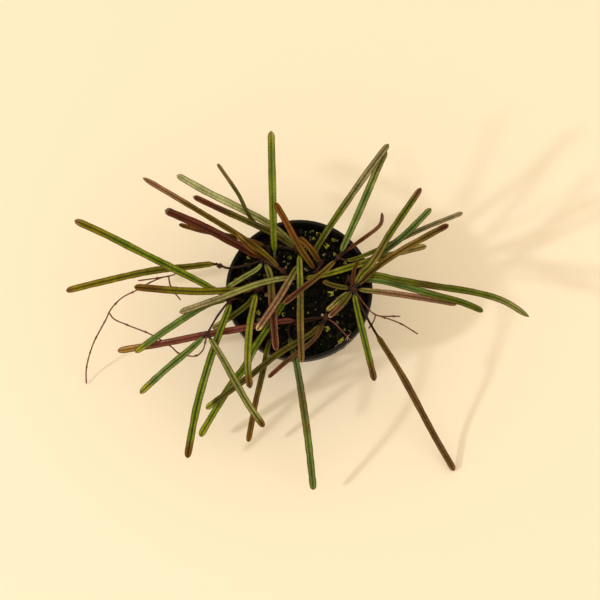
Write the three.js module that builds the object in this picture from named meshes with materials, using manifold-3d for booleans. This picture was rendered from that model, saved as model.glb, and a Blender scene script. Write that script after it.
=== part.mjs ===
import * as THREE from 'three';
import { mergeVertices } from 'three/addons/utils/BufferGeometryUtils.js';
import Module from 'manifold-3d';

// A hoya with long, narrow, fleshy leaves in a thin plastic nursery pot.
// Millimetres, +Z up. The origin is the centre of the pot's underside, and -Y is the front.

// Driving dimensions of the pot
const RIM_DIAMETER = 120;
const POT_HEIGHT = 80;
const BASE_DIAMETER = 76;
const WALL = 1.4;
const RIM_BAND_HEIGHT = 8;
const RIM_BAND_STEP = 1.6;
const FLOOR_THICKNESS = 1.6;
const UNDERSIDE_RECESS = 2.4;
const CENTRE_PAD_RADIUS = 14;
const FOOT_RING_WIDTH = 4;
const DRAIN_HOLES = 6;
const DRAIN_HOLE_DIAMETER = 9;

// Driving dimensions of the soil and of the plant
const SOIL_TOP = 72;
const SOIL_MOUND = 1.2;
const SOIL_RELIEF = 0.7;
const SEAT_GAP = 0.3;
const STEM_RADIUS = 1.4;
const STALK_RADIUS = 1.0;
const VINE_RADIUS = 0.6;
const KNOB_RADIUS = 2.2;
const BURIED_LENGTH = 18;
const BLADE_EDGE = 0.8;

// Fineness of the faceted shapes
const ROUND_SIDES = 48;
const STEM_SIDES = 7;
const VINE_SIDES = 5;
const BLADE_STEPS = 5;

const wasm = await Module();
wasm.setup();

// Solids in and out of the boolean library

function toSolid(geometry) {
  const bare = geometry.index ? geometry.clone() : geometry;
  bare.deleteAttribute('normal');
  bare.deleteAttribute('uv');
  const merged = mergeVertices(bare, 1e-4);
  return new wasm.Manifold(new wasm.Mesh({
    numProp: 3,
    vertProperties: new Float32Array(merged.attributes.position.array),
    triVerts: new Uint32Array(merged.index.array),
  }));
}

function toGeometry(solid) {
  const mesh = solid.getMesh();
  const geometry = new THREE.BufferGeometry();
  geometry.setAttribute('position', new THREE.BufferAttribute(mesh.vertProperties, 3));
  geometry.setIndex(new THREE.BufferAttribute(mesh.triVerts, 1));
  geometry.computeVertexNormals();
  return geometry;
}

function fuse(geometries) {
  return geometries.map(toSolid).reduce((whole, piece) => whole.add(piece));
}

// Lathes are drawn around Y, and the pot and the soil stand on Z.
function turned(profile) {
  const points = profile.map(([radius, height]) => new THREE.Vector2(radius, height));
  return new THREE.LatheGeometry(points, ROUND_SIDES).rotateX(Math.PI / 2);
}

function uprightCylinder(radius, bottom, top, x, y, sides) {
  const geometry = new THREE.CylinderGeometry(radius, radius, top - bottom, sides);
  return geometry.rotateX(Math.PI / 2).translate(x, y, (top + bottom) / 2);
}

// The pot: a tapered shell whose rim is stepped out into a band

const rimRadius = RIM_DIAMETER / 2;
const baseRadius = BASE_DIAMETER / 2;
const bandBottom = POT_HEIGHT - RIM_BAND_HEIGHT;
const shoulderRadius = rimRadius - RIM_BAND_STEP;
const floorTop = UNDERSIDE_RECESS + FLOOR_THICKNESS;
const wallSlope = (shoulderRadius - baseRadius) / POT_HEIGHT;

function outerWallRadius(height) {
  return baseRadius + wallSlope * height;
}

function innerWallRadius(height) {
  return outerWallRadius(height) - WALL;
}

function potBody() {
  const footInner = baseRadius - FOOT_RING_WIDTH;
  const edge = WALL / 3;
  const shell = toSolid(turned([
    [0, 0],
    [CENTRE_PAD_RADIUS, 0],
    [CENTRE_PAD_RADIUS + 1.5, UNDERSIDE_RECESS],
    [footInner - 1.5, UNDERSIDE_RECESS],
    [footInner, 0],
    [baseRadius - edge, 0],
    [baseRadius, edge],
    [outerWallRadius(bandBottom), bandBottom],
    [rimRadius - edge, bandBottom],
    [rimRadius, bandBottom + edge],
    [rimRadius, POT_HEIGHT - edge],
    [rimRadius - edge, POT_HEIGHT],
    [innerWallRadius(POT_HEIGHT) + edge, POT_HEIGHT],
    [innerWallRadius(POT_HEIGHT), POT_HEIGHT - edge],
    [innerWallRadius(floorTop + 2), floorTop + 2],
    [innerWallRadius(floorTop) - 2, floorTop],
    [0, floorTop],
  ]));
  const holeCircle = (CENTRE_PAD_RADIUS + footInner) / 2;
  let pot = shell;
  for (let hole = 0; hole < DRAIN_HOLES; hole += 1) {
    const angle = (hole / DRAIN_HOLES) * 2 * Math.PI;
    const drill = uprightCylinder(DRAIN_HOLE_DIAMETER / 2, -1, floorTop + 1,
      holeCircle * Math.cos(angle), holeCircle * Math.sin(angle), 16);
    pot = pot.subtract(toSolid(drill));
  }
  return pot;
}

// The plant. Each stem has a foot where it leaves the soil, the points it rises through, and
// leaves that grow from one of those points (node) through their own points (via). Bare vines
// run through their own points too. A leaf's width, its stalk and the length over which it opens
// (open) and closes at its tip (point, in widths) are its own.

const STEMS = [
  {
    name: 'stem_left', colour: 0x6b7a2c, foot: [-10, 8],
    rise: [[-13, 11, 93], [-29, 22, 90]],
    leaves: [
      { node: 0, width: 4.8, stalk: 4, via: [[-32, 27, 101], [-80, 56, 110], [-127, 84, 114]], point: 2.2 },
      { node: 1, width: 7.4, stalk: 3, via: [[-72, 42.3, 104], [-109, 59, 106]] },
      { node: 1, width: 4.5, stalk: 3, via: [[-33, 24, 98], [-40, 27, 105], [-51, 37, 111]] },
      {
        node: 1, width: 6.1, stalk: 41,
        via: [
          [-40, 18, 90], [-58, 15, 89], [-67, 18.5, 88], [-89, 17, 86.5], [-121.5, 13.8, 84],
          [-161.5, 7.7, 74.5], [-191.5, 2.7, 66],
        ],
      },
      { node: 1, width: 4.5, stalk: 3, via: [[-33, 15.5, 88.5], [-46, 7, 88], [-60, -2, 86]] },
      { node: 1, width: 6, stalk: 3, via: [[-24, 9.5, 90.5], [-21.7, -18.4, 93.5], [-18.5, -56, 93]] },
    ],
    vines: [],
  },
  {
    name: 'stem_back', colour: 0x7d8c48, foot: [3, 29],
    rise: [[0, 27, 99]],
    leaves: [
      {
        node: 0, width: 6, stalk: 3,
        via: [[-20.5, 46, 101], [-49, 61, 106], [-75, 74.7, 105.5], [-100, 90, 104]],
      },
      {
        node: 0, width: 5.3, stalk: 3,
        via: [[-20, 39, 104], [-40.5, 46, 114], [-66, 56, 120], [-85.5, 64.8, 123]],
      },
      {
        node: 0, width: 3.2, stalk: 20,
        via: [[-20, 39, 98], [-38, 49.5, 109], [-49.5, 70.5, 113], [-66.3, 95, 117]],
      },
      {
        node: 0, width: 4, stalk: 32,
        via: [[-20, 34, 88], [-25, 33, 88], [-36, 37, 91], [-58, 41, 94], [-80, 45, 95], [-98, 49.8, 97]],
      },
      { node: 0, width: 5.5, stalk: 3, via: [[1, -8, 98], [1, -31, 96], [2, -65, 90]] },
    ],
    vines: [],
  },
  {
    name: 'stem_centre', colour: 0x7f9440, foot: [6, 2],
    rise: [[1, 6, 88], [1, 19, 93]],
    leaves: [
      {
        node: 0, width: 5.5, stalk: 3,
        via: [[-11, 5, 93], [-32, -1, 98], [-64, -12.5, 95], [-97, -22.5, 88]],
      },
      {
        node: 0, width: 5.5, stalk: 3,
        via: [[17, 8, 90], [41, 15, 91], [66, 22.3, 94], [104, 33, 92]],
      },
      { node: 1, width: 5.8, stalk: 3, via: [[-7, 4, 97], [-16, -13, 99], [-34, -40, 96]] },
    ],
    vines: [],
  },
  {
    name: 'stem_rear', colour: 0x8a6a2a, foot: [18, 25],
    rise: [[18, 21, 84], [14, 13, 85]],
    leaves: [
      { node: 1, width: 5.5, stalk: 3, via: [[0.5, 27, 106], [-12.3, 46.7, 122], [-19.5, 56.7, 131]] },
      { node: 0, width: 5.5, stalk: 3, via: [[15, 22.5, 90], [9, 29, 98], [0, 36.5, 104]] },
      {
        node: 0, width: 5.9, stalk: 4,
        via: [[13.5, 29.5, 86], [18.5, 38.5, 92], [43, 70.5, 112], [60, 92.8, 121], [72.5, 108, 128]],
      },
    ],
    vines: [],
  },
  {
    name: 'stem_right', colour: 0x5f7030, foot: [38, 4],
    rise: [[41, 5, 92], [44, -5, 96]],
    leaves: [
      {
        node: 1, width: 5.7, stalk: 4,
        via: [[50, 5, 103], [58, 13, 105], [74, 39, 108], [98.8, 74.5, 116]],
      },
      {
        node: 1, width: 5.7, stalk: 4,
        via: [[51, 8, 100], [59, 18, 101], [83, 36, 104], [107, 59, 110]],
      },
      {
        node: 1, width: 5.6, stalk: 4,
        via: [[59.5, 9.5, 99], [74, 20, 102], [106.5, 38.4, 106], [121.2, 46.2, 107]],
      },
      { node: 1, width: 5.2, stalk: 3, via: [[82, -9.8, 96], [128, -14.6, 86]] },
      {
        node: 0, width: 5.8, stalk: 5,
        via: [[70, 1.3, 95], [110, -10, 95], [132.5, -14.8, 90], [149.5, -19.6, 82]],
      },
      {
        node: 0, width: 5.6, stalk: 5, point: 2.6,
        via: [
          [62, 6.5, 97.3], [77, 2.4, 99.2], [106, -3.6, 101], [142.5, -8.4, 97], [165.5, -12.7, 88],
          [187, -23, 78],
        ],
      },
      { node: 1, width: 5.5, stalk: 3, via: [[46, -18, 95.5], [52, -44, 93], [61, -76, 74]] },
      { node: 1, width: 5.5, stalk: 3, via: [[34, -18, 94], [24, -27, 90]] },
      { node: 1, width: 4.8, stalk: 5, via: [[36, -9.5, 91], [27, -17, 89], [22, -21.5, 89]] },
      { node: 1, width: 3.4, stalk: 3, via: [[44.5, 10, 99], [48, 18, 100]] },
      { node: 1, width: 4, stalk: 4, via: [[29, -2, 95], [19, 1.7, 95]] },
      {
        node: 1, width: 5.6, stalk: 42,
        via: [[50, -17, 89], [59, -34, 86], [84, -68, 60], [112, -109, 20], [129, -134, 2.2]],
      },
    ],
    vines: [
      [[44, -5, 96], [54, -18, 92], [62, -25, 90], [82, -24.5, 84]],
      [[62, -25, 90], [82, -28, 76], [97, -35.5, 70]],
    ],
  },
  {
    name: 'stem_side', colour: 0x6f8238, foot: [33, 28],
    rise: [[32, 23, 92]],
    leaves: [
      { node: 0, width: 6.1, stalk: 4, via: [[49.7, 59.2, 108], [63.4, 90.3, 117], [70.5, 105.5, 121]] },
      {
        node: 0, width: 3.3, stalk: 8,
        via: [
          [43, 31, 96], [56, 39.3, 101], [62.5, 43.5, 104], [66.3, 47.5, 106], [67.3, 52.5, 108],
          [67, 56, 109],
        ],
      },
      {
        node: 0, width: 4.2, stalk: 6,
        via: [[39, 20, 94], [62, 26.7, 98], [98.2, 44.6, 98], [133.6, 60.2, 96]],
      },
      { node: 0, width: 4.9, stalk: 3, via: [[19, 9, 96], [1, -8.5, 104], [-12.5, -21, 107]] },
    ],
    vines: [],
  },
  {
    name: 'stem_front', colour: 0x6a5a2e, foot: [20, -22],
    rise: [[22, -25, 83]],
    leaves: [
      {
        node: 0, width: 5.5, stalk: 8,
        via: [[11, -38.5, 86], [-15, -56, 88], [-41, -74.3, 79], [-56, -83.3, 70], [-76, -93, 50]],
      },
      { node: 0, width: 4, stalk: 5, via: [[14, -41.5, 84], [-11, -63.7, 86], [-25, -74.3, 78]] },
      {
        node: 0, width: 6, stalk: 42,
        via: [
          [4, -28, 80], [-8, -31, 80], [-8.5, -38, 81.5], [-3.5, -58, 85], [0, -76, 80.5],
          [3.5, -97, 72], [7.2, -120, 55], [11.8, -154, 20],
        ],
      },
      {
        node: 0, width: 6, stalk: 25,
        via: [
          [10, -26, 84], [-3, -28, 84], [-15, -29, 84.5], [-52, -36.5, 86], [-75, -40, 84],
          [-109, -43.8, 73], [-149, -44.5, 52],
        ],
      },
    ],
    vines: [[[22, -25, 83], [29, -30, 82], [39, -41, 82]]],
  },
  {
    name: 'stem_inner', colour: 0x6e9a34, foot: [-8, -4],
    rise: [[-9, -7, 82]],
    leaves: [
      {
        node: 0, width: 6.1, stalk: 6,
        via: [
          [-13, -15, 87], [-22, -30.7, 89.5], [-35, -50, 85.5], [-43.7, -64.5, 76], [-56, -76.5, 60],
          [-82, -109, 20],
        ],
      },
    ],
    vines: [],
  },
  {
    name: 'stem_near_left', colour: 0x7f8f30, foot: [-30, 0],
    rise: [[-34, -2, 86]],
    leaves: [
      {
        node: 0, width: 6.3, stalk: 3,
        via: [[-56, -4.6, 90.5], [-80, -5.9, 92], [-106, -4, 90], [-134, -0.8, 88]],
      },
      {
        node: 0, width: 6, stalk: 4,
        via: [[-38, -23, 90], [-40, -37, 93], [-41.3, -68, 90], [-39.5, -84, 80.5]],
      },
      {
        node: 0, width: 4.8, stalk: 4,
        via: [[-40, -13, 86], [-55, -25.4, 85.5], [-63, -30.8, 85.6], [-70, -36, 87.2]],
      },
    ],
    vines: [],
  },
  {
    name: 'stem_trailing', colour: 0x5f8a2e, foot: [-46, -9], radius: 0.9, knob: 1.6,
    rise: [[-54, -11, 88], [-64.5, -24.5, 92], [-74, -42, 94]],
    leaves: [
      {
        node: 0, width: 6.3, stalk: 8,
        via: [[-67, -4, 87], [-80, 3, 88], [-129.5, 27, 95], [-160, 42.4, 97], [-183, 53, 98]],
      },
      {
        node: 0, width: 6.3, stalk: 4,
        via: [[-60.5, -30.3, 92], [-70.5, -57.8, 86], [-82, -93, 68], [-91.5, -131, 36]],
      },
      { node: 0, width: 5.8, stalk: 4, via: [[-72, -15, 88], [-105, -33, 80], [-133.3, -51, 70]] },
      {
        node: 2, width: 5.9, stalk: 3,
        via: [[-62, -61, 90], [-52.3, -78, 86], [-40.8, -96.4, 76], [-28.3, -111.4, 62]],
      },
      { node: 2, width: 5.9, stalk: 3, via: [[-84.5, -51.7, 92], [-108, -69.2, 82], [-129, -84.2, 66]] },
    ],
    vines: [
      [
        [-74, -42, 94], [-75.5, -46.5, 88], [-78, -52, 80], [-83, -55, 75], [-89, -54.5, 72],
        [-98.5, -51, 69], [-104, -45.5, 67], [-121.5, -33.6, 63], [-141, -25, 61],
        [-152.5, -19, 59], [-156.5, -13.4, 58],
      ],
      [
        [-156.5, -13.4, 58], [-154, -9.6, 59], [-149, -4.6, 61], [-144.5, -1.3, 62.5],
        [-133, 3.6, 66], [-123, 8.3, 70], [-112, 12, 73.5], [-107, 12.5, 75], [-101, 14, 76],
      ],
      [[-107, 12.5, 75], [-120, 10, 76], [-132, 8, 77]],
      [[-107, 12.5, 75], [-105, 4, 72], [-97, -6, 68]],
      [
        [-156.5, -13.4, 58], [-159, -18, 54.5], [-164, -25, 48], [-170, -33, 38],
        [-175.5, -43, 24], [-178.5, -51, 10], [-178.8, -59, 1.2],
      ],
    ],
  },
  {
    name: 'shoot_upright', colour: 0x78a83a, foot: [-20, 27],
    rise: [[-20, 27, 77]],
    leaves: [
      {
        node: 0, width: 6.2, stalk: 10, open: 18,
        via: [[-20, 28, 92], [-20.5, 35, 110], [-21.5, 72, 134], [-22.5, 111.5, 148]],
      },
    ],
    vines: [],
  },
  {
    name: 'shoot_front', colour: 0x6a5a20, foot: [-22, -38],
    rise: [[-22, -38, 76]],
    leaves: [
      {
        node: 0, width: 4.9, stalk: 5,
        via: [
          [-24, -45, 82], [-26, -54.3, 85.4], [-28, -64, 80.4], [-32, -78, 68], [-35, -87, 56],
          [-42, -114.5, 24],
        ],
      },
    ],
    vines: [],
  },
];

// The soil fills the pot. Its top is a low mound with small clods and a plain hole for each stem.

function soilBody() {
  const bottom = floorTop + SEAT_GAP;
  const topRadius = innerWallRadius(SOIL_TOP) - SEAT_GAP * 1.2;
  const profile = [[0, bottom], [innerWallRadius(floorTop) - 3, bottom]];
  profile.push([innerWallRadius(floorTop + 3) - SEAT_GAP * 1.2, floorTop + 3]);
  profile.push([topRadius, SOIL_TOP]);
  const rings = 5;
  for (let ring = 1; ring <= rings; ring += 1) {
    const share = 1 - ring / rings;
    profile.push([topRadius * share, SOIL_TOP + SOIL_MOUND * (1 - share * share)]);
  }
  const geometry = turned(profile);
  const position = geometry.attributes.position;
  for (let i = 0; i < position.count; i += 1) {
    const x = position.getX(i);
    const y = position.getY(i);
    const z = position.getZ(i);
    const onTop = z >= SOIL_TOP && Math.hypot(x, y) > 0.01;
    const clods = Math.sin(x * 0.41 + y * 0.13) * Math.cos(y * 0.37 - x * 0.17);
    position.setZ(i, onTop ? z + SOIL_RELIEF * clods : z);
  }
  let soil = toSolid(geometry);
  for (const stem of STEMS) {
    const radius = (stem.radius ?? STEM_RADIUS) + SEAT_GAP * 1.4;
    const drill = uprightCylinder(radius, SOIL_TOP - BURIED_LENGTH, SOIL_TOP + 5, ...stem.foot, 12);
    soil = soil.subtract(toSolid(drill));
  }
  return soil;
}

// Stems and vines are tubes, and a knob stands at each point that leaves grow from.

function curveThrough(points) {
  const places = points.map((point) => new THREE.Vector3(...point));
  return new THREE.CatmullRomCurve3(places, false, 'centripetal');
}

function tube(points, radius, sides, stepLength) {
  const outline = new THREE.Shape();
  for (let side = 0; side < sides; side += 1) {
    const angle = (side / sides) * 2 * Math.PI;
    const corner = [radius * Math.cos(angle), radius * Math.sin(angle)];
    if (side === 0) outline.moveTo(...corner);
    else outline.lineTo(...corner);
  }
  outline.closePath();
  const path = curveThrough(points);
  const steps = Math.max(3, Math.round(path.getLength() / stepLength));
  return new THREE.ExtrudeGeometry(outline, { steps, extrudePath: path, bevelEnabled: false });
}

function knob(point, radius = KNOB_RADIUS) {
  return new THREE.IcosahedronGeometry(radius, 1).translate(...point);
}

function stemPieces(stem) {
  const [x, y] = stem.foot;
  const seat = SOIL_TOP - BURIED_LENGTH + SEAT_GAP;
  const radius = stem.radius ?? STEM_RADIUS;
  const pieces = [uprightCylinder(radius, seat, SOIL_TOP + 3, x, y, STEM_SIDES)];
  pieces.push(tube([[x, y, SOIL_TOP + 2], ...stem.rise], radius, STEM_SIDES, 6));
  const grownFrom = new Set(stem.leaves.map((leaf) => leaf.node));
  for (const node of grownFrom) pieces.push(knob(stem.rise[node], stem.knob));
  for (const vine of stem.vines) pieces.push(tube(vine, VINE_RADIUS, VINE_SIDES, 7));
  return pieces;
}

// A leaf is a round stalk that opens into a thick blade with a sunk midrib, raised edges and a
// keel. Its outline swells from the stalk, narrows a little and ends in a blunt round tip.

function bladeStations(length, leaf) {
  const blade = length - leaf.stalk;
  const tip = leaf.width * (leaf.point ?? 1);
  const stations = [
    { at: 0, half: STALK_RADIUS, flat: 0 },
    { at: leaf.stalk, half: STALK_RADIUS * 1.1, flat: 0.1 },
  ];
  const start = leaf.stalk + (leaf.open ?? Math.min(0.1 * blade, 6));
  for (let step = 0; step <= BLADE_STEPS; step += 1) {
    const share = step / BLADE_STEPS;
    const at = start + share * (length - tip - start);
    const swell = 0.5 - 0.3 * Math.max(0, 0.35 - share) - 0.04 * share * share;
    stations.push({ at, half: leaf.width * swell, flat: 1 });
  }
  const last = stations[stations.length - 1].half;
  stations.push({ at: length - 0.45 * tip, half: last * 0.84, flat: 0.9 });
  stations.push({ at: length - 0.12 * tip, half: last * 0.5, flat: 0.8 });
  stations.push({ at: length, half: last * 0.22, flat: 0.7 });
  return stations;
}

// Corners run from the left edge over the midrib to the right edge and back under the keel.
function sectionCorners(half, flat, width) {
  const lift = 0.10 * width * flat;
  const dip = 0.05 * width;
  const thickness = Math.max(0.30 * width, 1.4) * Math.min(1, half / (0.4 * width));
  const edge = Math.min(BLADE_EDGE, thickness * 0.7);
  const blade = [
    [-half, lift], [0, -dip], [half, lift],
    [0.86 * half, lift - edge], [0, -dip - thickness], [-0.86 * half, lift - edge],
  ];
  const round = [[-0.87, 0.5], [0, 1], [0.87, 0.5], [0.87, -0.5], [0, -1], [-0.87, -0.5]];
  return blade.map(([across, up], corner) => [
    THREE.MathUtils.lerp(round[corner][0] * half, across, flat),
    THREE.MathUtils.lerp(round[corner][1] * half, up, flat),
  ]);
}

// The blade lies level at its tip, and its sideways direction is carried back from there.
function leafBody(points, leaf) {
  const curve = curveThrough(points);
  const length = curve.getLength();
  const side = curve.getTangent(1).cross(new THREE.Vector3(0, 0, 1)).normalize();
  const rings = [];
  for (const { at, half, flat } of bladeStations(length, leaf).reverse()) {
    const centre = curve.getPointAt(at / length);
    const along = curve.getTangentAt(at / length);
    side.addScaledVector(along, -side.dot(along)).normalize();
    const up = new THREE.Vector3().crossVectors(side, along);
    rings.unshift(sectionCorners(half, flat, leaf.width).map(([across, above]) => (
      centre.clone().addScaledVector(side, across).addScaledVector(up, above)
    )));
  }
  return closedSweep(rings);
}

// Rings of corners joined into one closed body, with a fan from the midrib corner at each end
function closedSweep(rings) {
  const sides = rings[0].length;
  const index = [];
  const quad = (a, b, c, d) => index.push(a, b, c, a, c, d);
  for (let ring = 0; ring < rings.length - 1; ring += 1) {
    for (let i = 0; i < sides; i += 1) {
      const j = (i + 1) % sides;
      const here = ring * sides;
      const next = here + sides;
      quad(here + i, here + j, next + j, next + i);
    }
  }
  const end = (rings.length - 1) * sides;
  for (let i = 2; i < sides; i += 1) {
    const j = (i + 1) % sides;
    index.push(1, j, i);
    index.push(end + 1, end + i, end + j);
  }
  const geometry = new THREE.BufferGeometry().setFromPoints(rings.flat());
  geometry.setIndex(index);
  return geometry;
}

function stemSolid(stem) {
  const blades = stem.leaves.map((leaf) => leafBody([stem.rise[leaf.node], ...leaf.via], leaf));
  return fuse([...stemPieces(stem), ...blades]);
}

// The scene graph

const group = new THREE.Group();

function addNode(name, solid, colour, roughness) {
  const material = new THREE.MeshStandardMaterial({ color: colour, roughness, metalness: 0 });
  const mesh = new THREE.Mesh(toGeometry(solid), material);
  mesh.name = name;
  group.add(mesh);
}

addNode('pot', potBody(), 0x14161a, 0.55);
addNode('soil', soilBody(), 0x15130f, 0.95);
for (const stem of STEMS) addNode(stem.name, stemSolid(stem), stem.colour, 0.5);

export default group;
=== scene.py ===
# %% [markdown]
# # A potted Hoya insularis
# This hoya has long, narrow, fleshy leaves that arch and trail out of a thin black nursery pot.
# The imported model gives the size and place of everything, and stays as the fixed frame. Here
# each of its plain solids gets a finer piece that keeps its form, with the finish of the real one.

import math
import random
from dataclasses import dataclass

import bmesh
import bpy
import numpy as np
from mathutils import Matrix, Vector, noise


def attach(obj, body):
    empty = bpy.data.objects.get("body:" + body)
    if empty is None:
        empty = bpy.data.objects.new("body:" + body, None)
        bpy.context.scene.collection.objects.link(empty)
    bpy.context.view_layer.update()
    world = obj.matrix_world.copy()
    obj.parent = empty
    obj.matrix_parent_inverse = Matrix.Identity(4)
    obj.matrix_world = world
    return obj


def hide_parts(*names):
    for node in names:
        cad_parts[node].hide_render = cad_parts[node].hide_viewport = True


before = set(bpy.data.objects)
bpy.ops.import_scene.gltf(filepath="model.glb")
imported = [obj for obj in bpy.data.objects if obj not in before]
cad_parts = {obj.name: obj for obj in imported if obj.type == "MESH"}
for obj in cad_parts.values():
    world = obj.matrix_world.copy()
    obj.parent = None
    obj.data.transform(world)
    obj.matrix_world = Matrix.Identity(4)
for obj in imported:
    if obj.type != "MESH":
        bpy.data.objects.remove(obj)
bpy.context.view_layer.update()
scene = bpy.context.scene
MM = 0.001
print("the frame has", len(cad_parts), "solids")

# %% [markdown]
# ## Camera, floor and light
# The photograph looks steeply down on the plant, so a long lens 73 degrees above the floor gives
# the same view with little perspective. Its shadows are clear beside the plant and soften
# further off. A sun lamp spread by a few degrees would cast such shadows too. A small area lamp
# five metres away is chosen because it can be pictured as a real lamp. It stands low on the
# left, where it draws out the channel along each leaf. A wide, weak lamp and a warm room light
# the rest.

# %% Camera
VIEW_ELEVATION = math.radians(73)
VIEW_DISTANCE = 1.9
LENS_MM, SENSOR_MM = 140, 36
AIM = Vector((0.0007, -0.0094, 0.080))


def aimed(thing, place, target):
    """Puts a camera or lamp in place and turns it towards the target."""
    thing.location = place
    thing.rotation_euler = (target - place).to_track_quat("-Z", "Y").to_euler()
    scene.collection.objects.link(thing)
    return thing


back = Vector((0, -math.cos(VIEW_ELEVATION), math.sin(VIEW_ELEVATION)))
camera = aimed(bpy.data.objects.new("camera", bpy.data.cameras.new("camera")),
               AIM + VIEW_DISTANCE * back, AIM)
camera.data.lens, camera.data.sensor_width = LENS_MM, SENSOR_MM
scene.camera = camera
print("the camera is", VIEW_DISTANCE, "m away")

# %% [markdown]
# ## Colours and nodes
# Colours are picked as sRGB hex values, as a paint program shows them, but shaders work in linear
# light, so one function turns them. Nodes could be placed by hand in the shader editor. Here one
# small function adds each of them, so that a material reads from its pattern to its surface.

# %% Colours, nodes and materials


def rgba(code):
    """An sRGB hex colour as the linear colour that a shader takes."""
    parts = [int(code[i:i + 2], 16) / 255 for i in (1, 3, 5)]
    linear = [p / 12.92 if p <= 0.04045 else ((p + 0.055) / 1.055) ** 2.4 for p in parts]
    return (*linear, 1.0)


def add(tree, kind, inputs=(), **settings):
    """Adds a shader node with its settings. Its inputs go by name, or in order in a tuple. Each
    takes a value, a socket, or the first output of a node."""
    node = tree.nodes.new("ShaderNode" + kind)
    for name, value in settings.items():
        setattr(node, name, value)
    for name, value in inputs.items() if isinstance(inputs, dict) else enumerate(inputs):
        socket = node.inputs[name] if isinstance(name, int) else next(
            s for s in node.inputs if s.enabled and s.name == name)
        if isinstance(value, bpy.types.Node):
            value = next(s for s in value.outputs if s.enabled)
        if isinstance(value, bpy.types.NodeSocket):
            tree.links.new(value, socket)
        else:
            socket.default_value = value
    return node


def start_material(name):
    """An empty material with its tree. Its nodes are laid out by the code that follows."""
    material = bpy.data.materials.new(name)
    material.use_nodes = True
    material.node_tree.nodes.clear()
    return material, material.node_tree


def show(material, surface):
    """Ends a material with its surface."""
    add(material.node_tree, "OutputMaterial", {"Surface": surface})
    print(material.name, "has", len(material.node_tree.nodes), "nodes")


print("the grey #808080 is", round(rgba("#808080")[0], 3), "in linear light")

# %% Floor and lamps
floor_material, tree = start_material("painted_board")
# The paint changes a little in tone, in patches more than a metre wide
cloud = add(tree, "TexNoise", {"Scale": 6.0, "Detail": 3.0})
paint = add(tree, "Mix", {"Factor": cloud, "A": rgba("#FCF4E6"), "B": rgba("#FCF7EC")},
            data_type="RGBA")
show(floor_material, add(tree, "BsdfPrincipled", {"Base Color": paint, "Roughness": 0.9}))

FLOOR_SIZE = 8.0
floor_mesh = bpy.data.meshes.new("floor")
floor_mesh.from_pydata([(x * FLOOR_SIZE / 2, y * FLOOR_SIZE / 2, 0)
                        for x, y in ((-1, -1), (1, -1), (1, 1), (-1, 1))], [], [(0, 1, 2, 3)])
floor = bpy.data.objects.new("floor", floor_mesh)
floor.data.materials.append(floor_material)
scene.collection.objects.link(floor)


def lamp(name, watts, size, colour, azimuth, elevation, distance):
    """A square area lamp that looks at the plant. Azimuth 0 is the front and 90 is the right."""
    light = bpy.data.lights.new(name, "AREA")
    light.energy, light.size, light.color = watts, size, rgba(colour)[:3]
    turn, rise = math.radians(azimuth), math.radians(elevation)
    way = Vector((math.sin(turn) * math.cos(rise), -math.cos(turn) * math.cos(rise),
                  math.sin(rise)))
    aimed(bpy.data.objects.new(name, light), AIM + distance * way, AIM)


lamp("key_lamp", watts=77, size=0.3, colour="#FFF8EC", azimuth=-71, elevation=36, distance=5.0)
lamp("fill_lamp", watts=6, size=2.0, colour="#FFFDF8", azimuth=60, elevation=55, distance=3.0)
ROOM_COLOUR, ROOM_STRENGTH = "#FFE8C3", 0.91
world = bpy.data.worlds.new("soft_room")
world.use_nodes = True
room = world.node_tree.nodes["Background"].inputs
room["Color"].default_value, room["Strength"].default_value = rgba(ROOM_COLOUR), ROOM_STRENGTH
scene.world = world
scene.view_settings.view_transform = "Standard"

# %% [markdown]
# ## From points to pieces
# Every leaf, stem and vine here is a section carried along a curve. Blender's own curve objects
# could do it, but a leaf's section changes from a round stalk to a channelled blade, and the
# colours need to know where they are on the leaf. So the script lays out the rings itself. A Shape
# holds rings and what is written on them, and turns them into a closed mesh.

# %% Smooth curves


def smooth_path(route, step, tip=0):
    """Points every step mm along the smooth curve through route, which the solids use too. It
    makes no loops where the route's points lie unevenly. Over the last tip mm, where a leaf
    rounds off, they come closer together. Returns the points, their directions and distances."""
    ends = [2 * route[0] - route[1], *route, 2 * route[-1] - route[-2]]
    dense = []
    for a, b, c, d in zip(ends, ends[1:], ends[2:], ends[3:]):
        before, here, after = (max(np.linalg.norm(q - p), 1e-4) ** 0.5
                               for p, q in ((a, b), (b, c), (c, d)))
        leave = ((b - a) / before - (c - a) / (before + here) + (c - b) / here) * here
        reach = ((c - b) / here - (d - b) / (here + after) + (d - c) / after) * here
        for t in np.linspace(0, 1, 30, endpoint=False):
            dense.append(b + leave * t + (3 * (c - b) - 2 * leave - reach) * t * t
                         + (2 * (b - c) + leave + reach) * t ** 3)
    dense = np.array([*dense, route[-1]])
    reached = np.concatenate([[0], np.cumsum(np.linalg.norm(np.diff(dense, axis=0), axis=1))])
    length = reached[-1]
    at = np.linspace(0, length, max(4, round(length / step)) + 1)
    if tip:
        at = np.concatenate([np.arange(0, length - tip, step),
                             length - tip * np.cos(np.linspace(0, np.pi / 2, 8))])
    # A point's direction is taken from 0.3 mm on each side of it
    points, ahead, behind = (
        np.stack([np.interp(at + nudge, reached, dense[:, k]) for k in range(3)], axis=1)
        for nudge in (0, 0.3, -0.3))
    along = ahead - behind
    return points, along / np.linalg.norm(along, axis=1)[:, None], at


def level_side(direction):
    """The level direction to the side of a way, or x where it is upright."""
    side = np.cross(direction, (0.0, 0.0, 1.0))
    if np.linalg.norm(side) < 0.05:
        side = np.array((1.0, 0.0, 0.0))
    return side / np.linalg.norm(side)


def carried_frame(along):
    """The sideways and upward directions at each point, carried back from a level far end."""
    side, sides = level_side(along[-1]), np.zeros_like(along)
    for i in range(len(along) - 1, -1, -1):
        side = side - along[i] * side.dot(along[i])
        side = side / np.linalg.norm(side)
        sides[i] = side
    return sides, np.cross(sides, along)


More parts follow.
